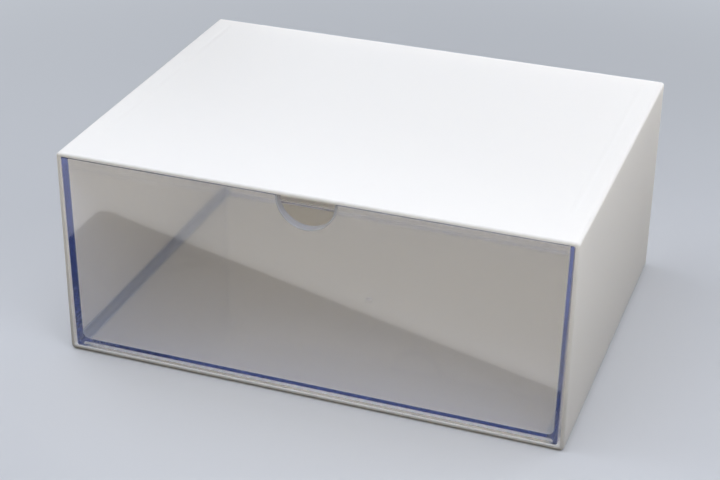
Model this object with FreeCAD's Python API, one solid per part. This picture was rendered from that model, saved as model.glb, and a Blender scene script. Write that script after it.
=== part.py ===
import FreeCAD, Part
import math
import os

# A stackable drawer box in two injection mouldings: an opaque casing, closed at the back
# and open at the front, and a clear drawer that slides into it.
# Units are millimetres. +X is right seen from the front, +Y goes back, +Z is up.
# The origin is the middle of the footprint, on the surface that the box stands on.

# Casing body
casing_width = 256.0
casing_depth = 192.0
casing_body_height = 109.4
casing_side_wall = 2.0
casing_floor_wall = 2.0
casing_ceiling_wall = 2.0
casing_back_wall = 2.0
casing_edge_radius = 1.8
casing_rim_radius = 1.2
casing_mouth_radius = 0.4
casing_inner_radius = 1.0

# Two low rails under the casing, and the faint hollows on top where the rails of a box above rest
rail_height = 0.6
rail_width = 2.8
rail_inset = 10.0
rail_front_setback = 27.0
rail_back_setback = 8.0
rail_foot_radius = 0.25
track_depth = 0.15
track_side_clearance = 0.2

# Round gate well in the middle of the casing's back, with the pip that the gate leaves
back_well_radius = 4.0
back_well_depth = 0.5
back_pip_radius = 0.9
back_pip_height = 0.35

# Drawer
drawer_front_wall = 4.3
drawer_side_wall = 2.35
drawer_back_wall = 2.0
drawer_floor_wall = 1.8
drawer_floor_lift = 1.55
drawer_draft_degrees = 0.6
drawer_outer_radius = 0.5
drawer_foot_radius = 1.1
drawer_panel_radius = 0.4
drawer_corner_radius = 1.0
drawer_floor_radius = 3.0
drawer_root_radius = 1.3
drawer_underside_radius = 0.4
drawer_edge_radius = 0.4

# Clearances between the drawer and the casing, those at the sides and back at the drawer's top
running_gap = 0.15
top_gap = 0.3
side_gap = 0.3
front_recess = 0.4
back_gap = 5.4

# Half-round finger notch in the top of the front, and how far its centre lies below the top
notch_radius = 14.2
notch_drop = 0.95
notch_corner_radius = 1.2

# Gate well under the drawer's floor
floor_well_radius = 1.9
floor_well_depth = 0.6
floor_pip_radius = 0.6
floor_pip_height = 0.4

# How far every cutting shape runs past the face that it cuts
overrun = 2.0

# How near to a plane an edge has to lie to count as on it
tolerance = 0.004

# Places worked out from the sizes
casing_bottom = rail_height
casing_top = casing_bottom + casing_body_height
casing_front = -casing_depth / 2
casing_back = casing_depth / 2
cavity_half_width = casing_width / 2 - casing_side_wall
cavity_bottom = casing_bottom + casing_floor_wall
cavity_top = casing_top - casing_ceiling_wall
cavity_back = casing_back - casing_back_wall
rail_x = casing_width / 2 - rail_inset
rail_front = casing_front + rail_front_setback
rail_back = casing_back - rail_back_setback

drawer_foot = cavity_bottom + running_gap
drawer_top = cavity_top - top_gap
drawer_floor_bottom = drawer_foot + drawer_floor_lift
drawer_floor_top = drawer_floor_bottom + drawer_floor_wall
drawer_half_width = cavity_half_width - side_gap
drawer_front = casing_front + front_recess
drawer_back = cavity_back - back_gap
drawer_slope = math.tan(math.radians(drawer_draft_degrees))


def vector(x, y, z):
    return FreeCAD.Vector(x, y, z)


def block(x_range, y_range, z_range):
    # A box from its lowest to its highest corner.
    corner = vector(x_range[0], y_range[0], z_range[0])
    return Part.makeBox(
        x_range[1] - x_range[0], y_range[1] - y_range[0], z_range[1] - z_range[0], corner
    )


def edges_where(shape, test):
    # The edges of a shape whose bounding box passes the test.
    return [edge for edge in shape.Edges if test(edge.BoundBox)]


def lies_on(low, high, place):
    # Whether a stretch of a bounding box lies on one plane.
    return abs(low - place) < tolerance and abs(high - place) < tolerance


def runs_along_y(box):
    return box.YLength > box.XLength + box.ZLength


def drawer_outline(wall_insets, z):
    # The half width, front and back of the drawer at height z. The front stands upright,
    # and the draft draws the sides and the back in below the top.
    # wall_insets holds how far the outline lies inside the outer face at the front, sides and back.
    draft = (drawer_top - z) * drawer_slope
    front_inset, side_inset, back_inset = wall_insets
    half_width = drawer_half_width - draft - side_inset
    return half_width, drawer_front + front_inset, drawer_back - draft - back_inset


def tapered_block(wall_insets, bottom, top):
    # A block with drafted sides and back between two heights.
    # The wedge tapers along its own y, so it is made lying down and then stood up.
    low_x, low_front, low_back = drawer_outline(wall_insets, bottom)
    high_x, high_front, high_back = drawer_outline(wall_insets, top)
    solid = Part.makeWedge(
        -low_x, bottom, -low_back, -high_back, -high_x,
        low_x, top, -low_front, -high_front, high_x,
    )
    solid.rotate(vector(0, 0, 0), vector(1, 0, 0), 90)
    return solid


def is_upright(box):
    return box.ZLength > box.XLength + box.YLength


def notch_profile(y):
    # The half circle below the top edge, with each corner rolled over by a smaller arc
    # that is tangent to the half circle and to the top edge.
    centre_z = drawer_top - notch_drop
    reach = notch_radius + notch_corner_radius
    rise = notch_corner_radius - notch_drop
    corner_x = math.sqrt(reach ** 2 - rise ** 2)
    meet_share = notch_radius / reach
    meet_x = corner_x * meet_share
    meet_z = centre_z - rise * meet_share
    # Halfway round the small arc, from the top edge to where it meets the half circle.
    half_turn = math.atan2(corner_x, rise) / 2
    middle_x = corner_x - notch_corner_radius * math.sin(half_turn)
    middle_z = drawer_top - notch_corner_radius * (1 - math.cos(half_turn))
    left_top = vector(-corner_x, y, drawer_top)
    left_meet = vector(-meet_x, y, meet_z)
    right_meet = vector(meet_x, y, meet_z)
    right_top = vector(corner_x, y, drawer_top)
    right_over = vector(corner_x, y, drawer_top + overrun)
    left_over = vector(-corner_x, y, drawer_top + overrun)
    edges = [
        Part.Arc(left_top, vector(-middle_x, y, middle_z), left_meet).toShape(),
        Part.Arc(left_meet, vector(0, y, centre_z - notch_radius), right_meet).toShape(),
        Part.Arc(right_meet, vector(middle_x, y, middle_z), right_top).toShape(),
        Part.makeLine(right_top, right_over),
        Part.makeLine(right_over, left_over),
        Part.makeLine(left_over, left_top),
    ]
    return Part.Face(Part.Wire(edges))


def make_casing_shell():
    # The five-walled box, rounded outside along its sides and all round its back.
    shell = block(
        (-casing_width / 2, casing_width / 2),
        (casing_front, casing_back),
        (casing_bottom, casing_top),
    )
    not_front = edges_where(shell, lambda box: not lies_on(box.YMin, box.YMax, casing_front))
    shell = shell.makeFillet(casing_edge_radius, not_front)
    rim = edges_where(shell, lambda box: lies_on(box.YMin, box.YMax, casing_front))
    shell = shell.makeFillet(casing_rim_radius, rim)
    cavity = block(
        (-cavity_half_width, cavity_half_width),
        (casing_front - overrun, cavity_back),
        (cavity_bottom, cavity_top),
    )
    inner = edges_where(
        cavity, lambda box: runs_along_y(box) or lies_on(box.YMin, box.YMax, cavity_back)
    )
    cavity = cavity.makeFillet(casing_inner_radius, inner)
    return shell.cut(cavity)


def round_casing_mouth(casing):
    # The inner edge of the front rim, all round the opening.
    def on_mouth(box):
        inside = abs(box.XMax) < casing_width / 2 - casing_side_wall / 2
        low_enough = box.ZMax < casing_top - casing_ceiling_wall / 2
        high_enough = box.ZMin > casing_bottom + casing_floor_wall / 2
        within = inside and low_enough and high_enough
        return within and lies_on(box.YMin, box.YMax, casing_front)

    return casing.makeFillet(casing_mouth_radius, edges_where(casing, on_mouth))


def make_rail(side):
    # One low rail under the casing, with rounded ends and a rounded foot.
    # It is sunk halfway into the floor, so that the two fuse into one moulding.
    root = casing_bottom + casing_floor_wall / 2
    start = vector(side * rail_x, rail_front + rail_width / 2, 0)
    straight = block(
        (side * rail_x - rail_width / 2, side * rail_x + rail_width / 2),
        (rail_front + rail_width / 2, rail_back - rail_width / 2),
        (0, root),
    )
    end = vector(side * rail_x, rail_back - rail_width / 2, 0)
    ends = [Part.makeCylinder(rail_width / 2, root, place) for place in (start, end)]
    rail = straight.fuse(ends).removeSplitter()
    foot = edges_where(rail, lambda box: lies_on(box.ZMin, box.ZMax, 0))
    return rail.makeFillet(rail_foot_radius, foot)


def make_track(side):
    # The tool for one hollow on top: a long roller with round ends, sunk in by the track's depth.
    # Its radius follows from half the hollow's width and its depth, as for any shallow arc.
    half_width = rail_width / 2 + track_side_clearance
    roller_radius = (half_width ** 2 + track_depth ** 2) / (2 * track_depth)
    height = casing_top - track_depth + roller_radius
    start = vector(side * rail_x, rail_front + half_width, height)
    end = vector(side * rail_x, rail_back - half_width, height)
    roller = Part.makeCylinder(roller_radius, end.y - start.y, start, vector(0, 1, 0))
    ends = [Part.makeSphere(roller_radius, place) for place in (start, end)]
    return roller.fuse(ends).removeSplitter()


def make_casing():
    casing = round_casing_mouth(make_casing_shell())
    for side in (-1, 1):
        casing = casing.fuse(make_rail(side))
        casing = casing.cut(make_track(side))
    middle = (casing_bottom + casing_top) / 2
    inward = vector(0, -1, 0)
    mouth = vector(0, casing_back + overrun, middle)
    well = Part.makeCylinder(back_well_radius, back_well_depth + overrun, mouth, inward)
    pip_end = vector(0, casing_back - back_well_depth + back_pip_height, middle)
    pip_length = back_pip_height + casing_back_wall / 2
    pip = Part.makeCylinder(back_pip_radius, pip_length, pip_end, inward)
    return casing.cut(well).fuse(pip).removeSplitter()


def make_drawer_body():
    # The outside, filled: rounded along the foot of its sides, then at its upright corners.
    body = tapered_block((0, 0, 0), drawer_foot, drawer_top)
    foot_sides = edges_where(
        body, lambda box: runs_along_y(box) and lies_on(box.ZMin, box.ZMax, drawer_foot)
    )
    body = body.makeFillet(drawer_foot_radius, foot_sides)
    return body.makeFillet(drawer_outer_radius, edges_where(body, is_upright))


def make_drawer_interior(insets):
    # The hollow above the floor: rounded up its back corners, then more along the floor's
    # sides and back, then all round the inner face of the front.
    hollow = tapered_block(insets, drawer_floor_top, drawer_top + overrun)
    inner_front = drawer_front + drawer_front_wall

    def goes_back(box):
        return box.YMax > inner_front + tolerance

    back_corners = edges_where(hollow, lambda box: goes_back(box) and is_upright(box))
    hollow = hollow.makeFillet(drawer_corner_radius, back_corners)
    floor_edges = edges_where(
        hollow, lambda box: goes_back(box) and lies_on(box.ZMin, box.ZMax, drawer_floor_top)
    )
    hollow = hollow.makeFillet(drawer_floor_radius, floor_edges)
    front_corners = edges_where(hollow, lambda box: is_upright(box) and not goes_back(box))
    return hollow.makeFillet(drawer_panel_radius, front_corners)


def make_drawer_underside(insets):
    # The shallow hollow between the runners, up to the floor: rounded along the runners'
    # roots, then round its front and back faces.
    hollow = tapered_block(insets, drawer_foot - overrun, drawer_floor_bottom)
    roots = edges_where(
        hollow,
        lambda box: runs_along_y(box) and lies_on(box.ZMin, box.ZMax, drawer_floor_bottom),
    )
    hollow = hollow.makeFillet(drawer_root_radius, roots)
    return hollow.makeFillet(drawer_underside_radius, edges_where(hollow, is_upright))


def make_drawer():
    insets = (drawer_front_wall, drawer_side_wall, drawer_back_wall)
    body = make_drawer_body()
    interior = make_drawer_interior(insets)
    underside = make_drawer_underside(insets)
    notch = notch_profile(drawer_front - overrun)
    notch = notch.extrude(vector(0, drawer_front_wall + 2 * overrun, 0))
    drawer = body.cut([interior, underside, notch])

    def on_rounded_edge(box):
        # The arcs of the notch in both faces of the front, and what is left of the top edges.
        if max(box.XMax, -box.XMin) < notch_radius + 2 * notch_corner_radius:
            return box.ZLength > tolerance and box.YLength < drawer_front_wall / 2
        return lies_on(box.ZMin, box.ZMax, drawer_top)

    rounded = edges_where(drawer, on_rounded_edge)
    drawer = drawer.makeFillet(drawer_edge_radius, rounded)
    middle_y = (drawer_front + drawer_back) / 2
    well_mouth = vector(0, middle_y, drawer_floor_bottom - overrun)
    well = Part.makeCylinder(floor_well_radius, floor_well_depth + overrun, well_mouth)
    pip_end = vector(0, middle_y, drawer_floor_bottom + floor_well_depth - floor_pip_height)
    pip_length = floor_pip_height + drawer_floor_wall / 4
    pip = Part.makeCylinder(floor_pip_radius, pip_length, pip_end)
    return drawer.cut(well).fuse(pip).removeSplitter()


def main():
    os.makedirs("parts", exist_ok=True)
    nodes = {"casing": make_casing(), "drawer": make_drawer()}
    for name, shape in nodes.items():
        solid = shape.Solids[0]
        solid.exportStep("parts/" + name + ".step")
        print(name, "solids", len(shape.Solids), "valid", shape.isValid(), "volume", solid.Volume)


main()
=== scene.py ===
import math

import bpy
from mathutils import Matrix, Vector

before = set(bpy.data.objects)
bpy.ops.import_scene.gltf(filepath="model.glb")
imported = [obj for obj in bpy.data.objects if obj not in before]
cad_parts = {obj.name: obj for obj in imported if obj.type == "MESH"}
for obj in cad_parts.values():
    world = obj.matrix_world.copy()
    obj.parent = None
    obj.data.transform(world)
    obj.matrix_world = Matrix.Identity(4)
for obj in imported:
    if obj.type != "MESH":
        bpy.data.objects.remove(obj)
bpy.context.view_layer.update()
print("frame loaded")

scene = bpy.context.scene
scene.view_settings.view_transform = "Standard"
# Light that gets into the drawer's walls bounces between their faces many times before it leaves.
lightBounces = {"betweenWalls": 120, "diffuse": 12, "unbent": 24}
scene.cycles.max_bounces = lightBounces["betweenWalls"]
scene.cycles.diffuse_bounces = lightBounces["diffuse"]
scene.cycles.glossy_bounces = lightBounces["betweenWalls"]
scene.cycles.transmission_bounces = lightBounces["betweenWalls"]
scene.cycles.transparent_max_bounces = lightBounces["unbent"]


def linear(hexColour):
    # An sRGB colour as written in hex, as the linear numbers that shaders take.
    values = [int(hexColour[i:i + 2], 16) / 255 for i in (1, 3, 5)]
    turned = [v / 12.92 if v <= 0.04045 else ((v + 0.055) / 1.055) ** 2.4 for v in values]
    return (*turned, 1.0)


def emptyMaterial(name):
    material = bpy.data.materials.new(name)
    material.use_nodes = True
    material.node_tree.nodes.clear()
    return material


def addNode(material, kind, inputs=None, **settings):
    # Adds a node. An input is a number, a colour or another node's output.
    tree = material.node_tree
    node = tree.nodes.new(kind)
    for key, value in settings.items():
        setattr(node, key, value)
    for key, value in (inputs or {}).items():
        if isinstance(value, bpy.types.NodeSocket):
            tree.links.new(value, node.inputs[key])
        else:
            node.inputs[key].default_value = value
    return node


# Casing: white polypropylene moulding, whose satin tool surface spreads reflections softly.
# Its walls let some light through, which keeps the inside bright.
casingLook = {
    "colour": "#f9f9f9",
    "roughness": 0.5,
    "ior": 1.49,
    "grainWidth": 0.000714,  # metres, and coarser than the real grain, which is too fine to show
    "grainDepth": 0.00004,
    "grainStrength": 0.25,
    "grainDetail": 2.0,
    "grainRoughness": 0.6,
    "throughColour": "#fff7e6",
    "throughShare": 0.33,
}
casingPlastic = emptyMaterial("white_injection_moulded_polypropylene")
grain = addNode(
    casingPlastic,
    "ShaderNodeTexNoise",
    {
        "Vector": addNode(casingPlastic, "ShaderNodeTexCoord").outputs["Object"],
        "Scale": 1.0 / casingLook["grainWidth"],
        "Detail": casingLook["grainDetail"],
        "Roughness": casingLook["grainRoughness"],
    },
)
grainBump = addNode(
    casingPlastic,
    "ShaderNodeBump",
    {
        "Height": grain.outputs["Fac"],
        "Strength": casingLook["grainStrength"],
        "Distance": casingLook["grainDepth"],
    },
)
casingShader = addNode(
    casingPlastic,
    "ShaderNodeBsdfPrincipled",
    {
        "Base Color": linear(casingLook["colour"]),
        "Roughness": casingLook["roughness"],
        "IOR": casingLook["ior"],
        "Normal": grainBump.outputs["Normal"],
    },
)
throughLight = addNode(
    casingPlastic, "ShaderNodeBsdfTranslucent", {"Color": linear(casingLook["throughColour"])}
)
casingSurface = addNode(
    casingPlastic,
    "ShaderNodeMixShader",
    {
        "Fac": casingLook["throughShare"],
        1: casingShader.outputs["BSDF"],
        2: throughLight.outputs["BSDF"],
    },
)
addNode(casingPlastic, "ShaderNodeOutputMaterial", {"Surface": casingSurface.outputs["Shader"]})
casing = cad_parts["casing"]
casing.data.materials.clear()
casing.data.materials.append(casingPlastic)
print("casing dressed")

# Drawer: clear polystyrene with a trace of blue toner. Through one wall it looks colourless,
# and light that has run along inside a wall comes out deep blue where the walls meet.
# The faces mirror sharply and soften what shows through them a little. The notch's edge, where
# the mould's slide shuts off, is left satin and looks paler than the faces. Along the floor's
# sides the round is satin too, and a pale blue tint is painted on it: painted light that stands
# in for the blue light leaving the walls along the round. Lengths are in metres.
drawerLook = {
    "colour": "#fdfdfe",
    "roughness": 0.06,
    "ior": 1.59,
    "polish": 0.65,
    "tonerColour": "#308bf5",
    "tonerDensity": 10.0,
    "notchRadius": 0.0142,
    "notchDrop": 0.00095,
    "edgeWidth": 0.0004,
    "edgeFade": 0.0004,
    "edgeColour": "#c0c1c4",
    "edgeRoughness": 0.35,
    "edgeClearness": 0.3,
    "roundIn": 0.0034,
    "roundUp": 0.00335,
    "roundWidth": 0.0035,
    "roundFade": 0.0015,
    # painted light: a pale blue tint on the round that stands in for the blue light leaving the
    # walls there
    "roundPaintedBlue": "#eef5ff",
    "roundRoughness": 0.26,
    "frontDepth": 0.0044,
    "frontFade": 0.0007,
}
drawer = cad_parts["drawer"]
drawerLow = [min(side) for side in zip(*drawer.bound_box)]
drawerHigh = [max(side) for side in zip(*drawer.bound_box)]
clearPlastic = emptyMaterial("clear_injection_moulded_polystyrene")
drawerPlace = addNode(clearPlastic, "ShaderNodeTexCoord").outputs["Object"]


def reachFromLine(place, x, z):
    # How far a place lies from the line at x and z that runs from the front to the back.
    moved = addNode(
        clearPlastic, "ShaderNodeVectorMath", {0: place, 1: (-x, 0.0, -z)}, operation="ADD"
    )
    across = addNode(
        clearPlastic,
        "ShaderNodeVectorMath",
        {0: moved.outputs[0], 1: (1.0, 0.0, 1.0)},
        operation="MULTIPLY",
    )
    reach = addNode(
        clearPlastic, "ShaderNodeVectorMath", {0: across.outputs[0]}, operation="LENGTH"
    )
    return reach.outputs["Value"]


notchReach = reachFromLine(drawerPlace, 0.0, drawerHigh[2] - drawerLook["notchDrop"])
awayFromEdge = addNode(
    clearPlastic,
    "ShaderNodeMath",
    {0: notchReach, 1: drawerLook["notchRadius"]},
    operation="SUBTRACT",
)
besideEdge = addNode(
    clearPlastic, "ShaderNodeMath", {0: awayFromEdge.outputs[0]}, operation="ABSOLUTE"
)


def fromEdgeToFace(edgeValue, faceValue):
    # A number that changes from the notch's edge to the faces around it.
    ranged = addNode(
        clearPlastic,
        "ShaderNodeMapRange",
        {
            "Value": besideEdge.outputs[0],
            "From Min": drawerLook["edgeWidth"],
            "From Max": drawerLook["edgeWidth"] + drawerLook["edgeFade"],
            "To Min": edgeValue,
            "To Max": faceValue,
        },
    )
    return ranged.outputs["Result"]


# The round is found on both sides at once, from the place with its signs left off.
bothSides = addNode(clearPlastic, "ShaderNodeVectorMath", {0: drawerPlace}, operation="ABSOLUTE")
besideRound = addNode(
    clearPlastic,
    "ShaderNodeMapRange",
    {
        "Value": reachFromLine(
            bothSides.outputs[0],
            drawerHigh[0] - drawerLook["roundIn"],
            drawerLow[2] + drawerLook["roundUp"],
        ),
        "From Min": drawerLook["roundWidth"],
        "From Max": drawerLook["roundWidth"] + drawerLook["roundFade"],
        "To Min": 1.0,
        "To Max": 0.0,
    },
)
behindFront = addNode(
    clearPlastic,
    "ShaderNodeMapRange",
    {
        "Value": addNode(clearPlastic, "ShaderNodeSeparateXYZ", {0: drawerPlace}).outputs["Y"],
        "From Min": drawerLow[1] + drawerLook["frontDepth"],
        "From Max": drawerLow[1] + drawerLook["frontDepth"] + drawerLook["frontFade"],
    },
)
onRound = addNode(
    clearPlastic,
    "ShaderNodeMath",
    {0: besideRound.outputs["Result"], 1: behindFront.outputs["Result"]},
    operation="MULTIPLY",
)
wholeRoughness = addNode(
    clearPlastic,
    "ShaderNodeMath",
    {
        0: onRound.outputs[0],
        1: drawerLook["roundRoughness"],
        2: fromEdgeToFace(drawerLook["edgeRoughness"], drawerLook["roughness"]),
    },
    operation="MULTIPLY_ADD",
)
# Sockets 6 and 7 of a colour Mix node are its two colours.
# Painted light: along the round the colour is tinted pale blue, standing in for the blue light
# that leaves the walls there.
faceWithPaintedBlue = addNode(
    clearPlastic,
    "ShaderNodeMix",
    {
        "Factor": onRound.outputs[0],
        6: linear(drawerLook["colour"]),
        7: linear(drawerLook["roundPaintedBlue"]),
    },
    data_type="RGBA",
)
wholeColour = addNode(
    clearPlastic,
    "ShaderNodeMix",
    {
        "Factor": fromEdgeToFace(0.0, 1.0),
        6: linear(drawerLook["edgeColour"]),
        7: faceWithPaintedBlue.outputs[2],
    },
    data_type="RGBA",
)
# The polish mirrors light that comes from outside. Inside the wall it has no part.
polish = addNode(
    clearPlastic,
    "ShaderNodeMapRange",
    {
        "Value": addNode(clearPlastic, "ShaderNodeNewGeometry").outputs["Backfacing"],
        "To Min": drawerLook["polish"],
        "To Max": 0.0,
    },
)
clearShader = addNode(
    clearPlastic,
    "ShaderNodeBsdfPrincipled",
    {
        "Base Color": wholeColour.outputs[2],
        "Roughness": wholeRoughness.outputs[0],
        "IOR": drawerLook["ior"],
        "Transmission Weight": fromEdgeToFace(drawerLook["edgeClearness"], 1.0),
        "Coat Weight": polish.outputs["Result"],
        "Coat Roughness": 0.0,
        "Coat IOR": drawerLook["ior"],
    },
)
# Lamp light and light scattered by the casing pass the clear walls without being bent.
rayKind = addNode(clearPlastic, "ShaderNodeLightPath")
unbentRay = addNode(
    clearPlastic,
    "ShaderNodeMath",
    {0: rayKind.outputs["Is Shadow Ray"], 1: rayKind.outputs["Is Diffuse Ray"]},
    operation="MAXIMUM",
)
letsLightThrough = addNode(
    clearPlastic, "ShaderNodeBsdfTransparent", {"Color": linear("#ffffff")}
)
clearSurface = addNode(
    clearPlastic,
    "ShaderNodeMixShader",
    {
        "Fac": unbentRay.outputs[0],
        1: clearShader.outputs["BSDF"],
        2: letsLightThrough.outputs["BSDF"],
    },
)
toner = addNode(
    clearPlastic,
    "ShaderNodeVolumeAbsorption",
    {"Color": linear(drawerLook["tonerColour"]), "Density": drawerLook["tonerDensity"]},
)
addNode(
    clearPlastic,
    "ShaderNodeOutputMaterial",
    {"Surface": clearSurface.outputs["Shader"], "Volume": toner.outputs["Volume"]},
)
drawer.data.materials.clear()
drawer.data.materials.append(clearPlastic)
print("drawer dressed")


def straightThrough(material):
    # One for a ray that has come straight through the clear drawer, unmirrored, else nothing.
    ray = addNode(material, "ShaderNodeLightPath")
    passed = addNode(
        material,
        "ShaderNodeMath",
        {0: ray.outputs["Is Transmission Ray"], 1: ray.outputs["Is Diffuse Ray"]},
        operation="SUBTRACT",
    )
    unmirrored = addNode(
        material,
        "ShaderNodeMath",
        {0: passed.outputs[0], 1: ray.outputs["Glossy Depth"]},
        operation="SUBTRACT",
        use_clamp=True,
    )
    return unmirrored.outputs[0]


def flatSheet(name, corners, height, material):
    # A stage object: one flat face at a height, with corners in metres.
    mesh = bpy.data.meshes.new(name)
    mesh.from_pydata([(x, y, height) for x, y in corners], [], [tuple(range(len(corners)))])
    mesh.materials.append(material)
    sheet = bpy.data.objects.new(name, mesh)
    scene.collection.objects.link(sheet)
    return sheet


# Stage: a plain pale floor that runs on out of sight. It is pale to the camera, white in
# reflections and dark to the light that it sends back up, so that the sides stay shaded.
# Far from the box, where the lamps fade, it keeps the tone that it has around the box.
floorLook = {
    "reach": 6.0,
    "seenColour": "#dcdddf",
    "bouncedColour": "#303032",
    "mirroredColour": "#ffffff",
    "farColour": "#c2c7cf",
    "farStart": 0.2,
    "farEnd": 0.58,
}
floorPaint = emptyMaterial("pale_floor")
floorRay = addNode(floorPaint, "ShaderNodeLightPath")
straightRay = straightThrough(floorPaint)
seenRay = addNode(
    floorPaint,
    "ShaderNodeMath",
    {0: floorRay.outputs["Is Camera Ray"], 1: straightRay},
    operation="ADD",
)
bentRay = addNode(
    floorPaint,
    "ShaderNodeMath",
    {0: floorRay.outputs["Is Glossy Ray"], 1: floorRay.outputs["Is Transmission Ray"]},
    operation="MAXIMUM",
)
mirroredRay = addNode(
    floorPaint, "ShaderNodeMath", {0: bentRay.outputs[0], 1: straightRay}, operation="SUBTRACT"
)
floorColour = addNode(
    floorPaint,
    "ShaderNodeMix",
    {
        "Factor": seenRay.outputs[0],
        6: linear(floorLook["bouncedColour"]),
        7: linear(floorLook["seenColour"]),
    },
    data_type="RGBA",
)
nearFloor = addNode(floorPaint, "ShaderNodeBsdfDiffuse", {"Color": floorColour.outputs[2]})
farFloor = addNode(
    floorPaint,
    "ShaderNodeEmission",
    {"Color": linear(floorLook["farColour"]), "Strength": 1.0},
)
floorDistance = addNode(
    floorPaint,
    "ShaderNodeVectorMath",
    {0: addNode(floorPaint, "ShaderNodeTexCoord").outputs["Object"]},
    operation="LENGTH",
)
farShare = addNode(
    floorPaint,
    "ShaderNodeMapRange",
    {
        "Value": floorDistance.outputs["Value"],
        "From Min": floorLook["farStart"],
        "From Max": floorLook["farEnd"],
        "To Max": seenRay.outputs[0],
    },
)
seenFloor = addNode(
    floorPaint,
    "ShaderNodeMixShader",
    {
        "Fac": farShare.outputs["Result"],
        1: nearFloor.outputs["BSDF"],
        2: farFloor.outputs["Emission"],
    },
)
mirroredFloor = addNode(
    floorPaint,
    "ShaderNodeEmission",
    {"Color": linear(floorLook["mirroredColour"]), "Strength": 1.0},
)
floorSurface = addNode(
    floorPaint,
    "ShaderNodeMixShader",
    {
        "Fac": mirroredRay.outputs[0],
        1: seenFloor.outputs["Shader"],
        2: mirroredFloor.outputs["Emission"],
    },
)
addNode(floorPaint, "ShaderNodeOutputMaterial", {"Surface": floorSurface.outputs["Shader"]})
reach = floorLook["reach"]
flatSheet(
    "floor", [(-reach, -reach), (reach, -reach), (reach, reach), (-reach, reach)], 0.0, floorPaint
)

# A dark sheet with a rounded front corner lies just over the floor. Only reflections see it,
# so that the drawer's polished front mirrors its edge. Lengths are in metres.
sheetLook = {
    "colour": "#34373d",
    "height": 0.0003,
    "cornerCentre": (-0.180, -0.2304),
    "cornerRadius": 0.006,
    "cornerTurns": range(180, 289, 12),
    "otherCorners": [(0.5, -0.0234), (0.4, 0.4), (-0.19, 0.4)],
}
sheetPaint = emptyMaterial("dark_sheet")
sheetShader = addNode(
    sheetPaint, "ShaderNodeBsdfDiffuse", {"Color": linear(sheetLook["colour"])}
)
sheetUnseen = addNode(
    sheetPaint, "ShaderNodeBsdfTransparent", {"Color": linear("#ffffff")}
)
sheetSurface = addNode(
    sheetPaint,
    "ShaderNodeMixShader",
    {
        "Fac": straightThrough(sheetPaint),
        1: sheetShader.outputs["BSDF"],
        2: sheetUnseen.outputs["BSDF"],
    },
)
addNode(sheetPaint, "ShaderNodeOutputMaterial", {"Surface": sheetSurface.outputs["Shader"]})
centreX, centreY = sheetLook["cornerCentre"]
roundedCorner = [
    (
        centreX + sheetLook["cornerRadius"] * math.cos(math.radians(turn)),
        centreY + sheetLook["cornerRadius"] * math.sin(math.radians(turn)),
    )
    for turn in sheetLook["cornerTurns"]
]
darkSheet = flatSheet(
    "dark_sheet",
    [*roundedCorner, *sheetLook["otherCorners"]],
    sheetLook["height"],
    sheetPaint,
)
darkSheet.visible_camera = False
darkSheet.visible_diffuse = False
darkSheet.visible_shadow = False
print("floor laid")

# Studio light: an even sky, a large soft box overhead and smaller ones on all four sides, one
# of them close to the front rim.
skyLook = {"colour": "#ffffff", "strength": 0.12}
world = bpy.data.worlds.new("studio")
world.use_nodes = True
sky = world.node_tree.nodes["Background"]
sky.inputs["Color"].default_value = linear(skyLook["colour"])
sky.inputs["Strength"].default_value = skyLook["strength"]
scene.world = world

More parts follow.
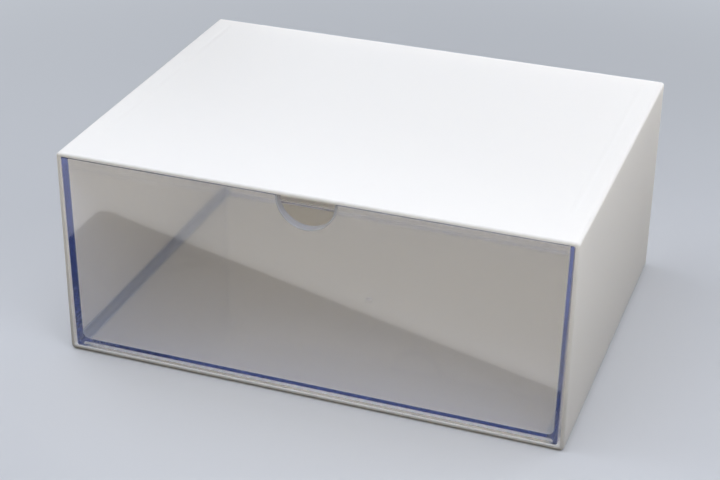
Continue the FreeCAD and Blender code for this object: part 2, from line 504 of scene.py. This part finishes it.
boxMiddle = (0.0, 0.0, 0.06)
softBoxes = {
    "front_box": {
        "place": (0.06, -0.31, 0.32),
        "target": boxMiddle,
        "size": (0.45, 0.25),
        "power": 0.33,
        "colour": "#f2f6ff",
    },
    "lip_box": {
        "place": (-0.02, -0.15, 0.26),
        "target": (0.0, -0.09, 0.04),
        "size": (0.5, 0.12),
        "power": 0.2,
        "colour": "#f2f6ff",
    },
    "right_box": {
        "place": (0.345, 0.02, 0.30),
        "target": boxMiddle,
        "size": (0.75, 0.27),
        "power": 1.03,
        "colour": "#f2f6ff",
    },
    "left_box": {
        "place": (-0.42, 0.0, 0.40),
        "target": boxMiddle,
        "size": (0.7, 0.3),
        "power": 0.93,
        "colour": "#f2f6ff",
    },
    "back_box": {
        "place": (0.0, 0.42, 0.14),
        "target": (0.0, 0.0, 0.07),
        "size": (0.5, 0.2),
        "power": 1.55,
        "colour": "#f2f6ff",
    },
    "top_box": {
        "place": (-0.18, 0.10, 0.60),
        "target": boxMiddle,
        "size": (0.8, 0.6),
        "power": 1.32,
        "colour": "#e8f1ff",
    },
}
for name, look in softBoxes.items():
    # An area lamp at its place, turned towards its target. It doesn't show itself to the camera.
    data = bpy.data.lights.new(name, "AREA")
    data.shape = "RECTANGLE"
    data.size, data.size_y = look["size"]
    data.energy = look["power"]
    data.color = linear(look["colour"])[:3]
    lamp = bpy.data.objects.new(name, data)
    scene.collection.objects.link(lamp)
    lamp.location = look["place"]
    lamp.rotation_mode = "QUATERNION"
    lamp.rotation_quaternion = (
        Vector(look["place"]) - Vector(look["target"])
    ).to_track_quat("Z", "Y")
    lamp.visible_camera = False

# The back lamp shines through the casing's back wall, and the floor is kept clear of its glare.
boxOnly = bpy.data.collections.new("box_only")
boxOnly.objects.link(casing)
boxOnly.objects.link(drawer)
scene.objects["back_box"].light_linking.receiver_collection = boxOnly
print("lamps placed")

# Camera at the photo's angle, found from the box's corners. Turn is degrees round to the right
# from the front, and tilt is degrees down.
cameraLook = {
    "place": (0.253534, -0.735344, 0.457586),
    "turn": 19.52846,
    "tilt": 28.29914,
    "roll": 0.70834,
    "lens": 84.62,
    "sensorWidth": 36.0,
    "clipStart": 0.05,
}
camera = bpy.data.objects.new("camera", bpy.data.cameras.new("camera"))
scene.collection.objects.link(camera)
camera.data.sensor_width = cameraLook["sensorWidth"]
camera.data.lens = cameraLook["lens"]
camera.data.clip_start = cameraLook["clipStart"]
camera.matrix_world = (
    Matrix.Translation(cameraLook["place"])
    @ Matrix.Rotation(math.radians(cameraLook["turn"]), 4, "Z")
    @ Matrix.Rotation(math.radians(90.0 - cameraLook["tilt"]), 4, "X")
    @ Matrix.Rotation(math.radians(cameraLook["roll"]), 4, "Z")
)
scene.camera = camera
print("stage done")
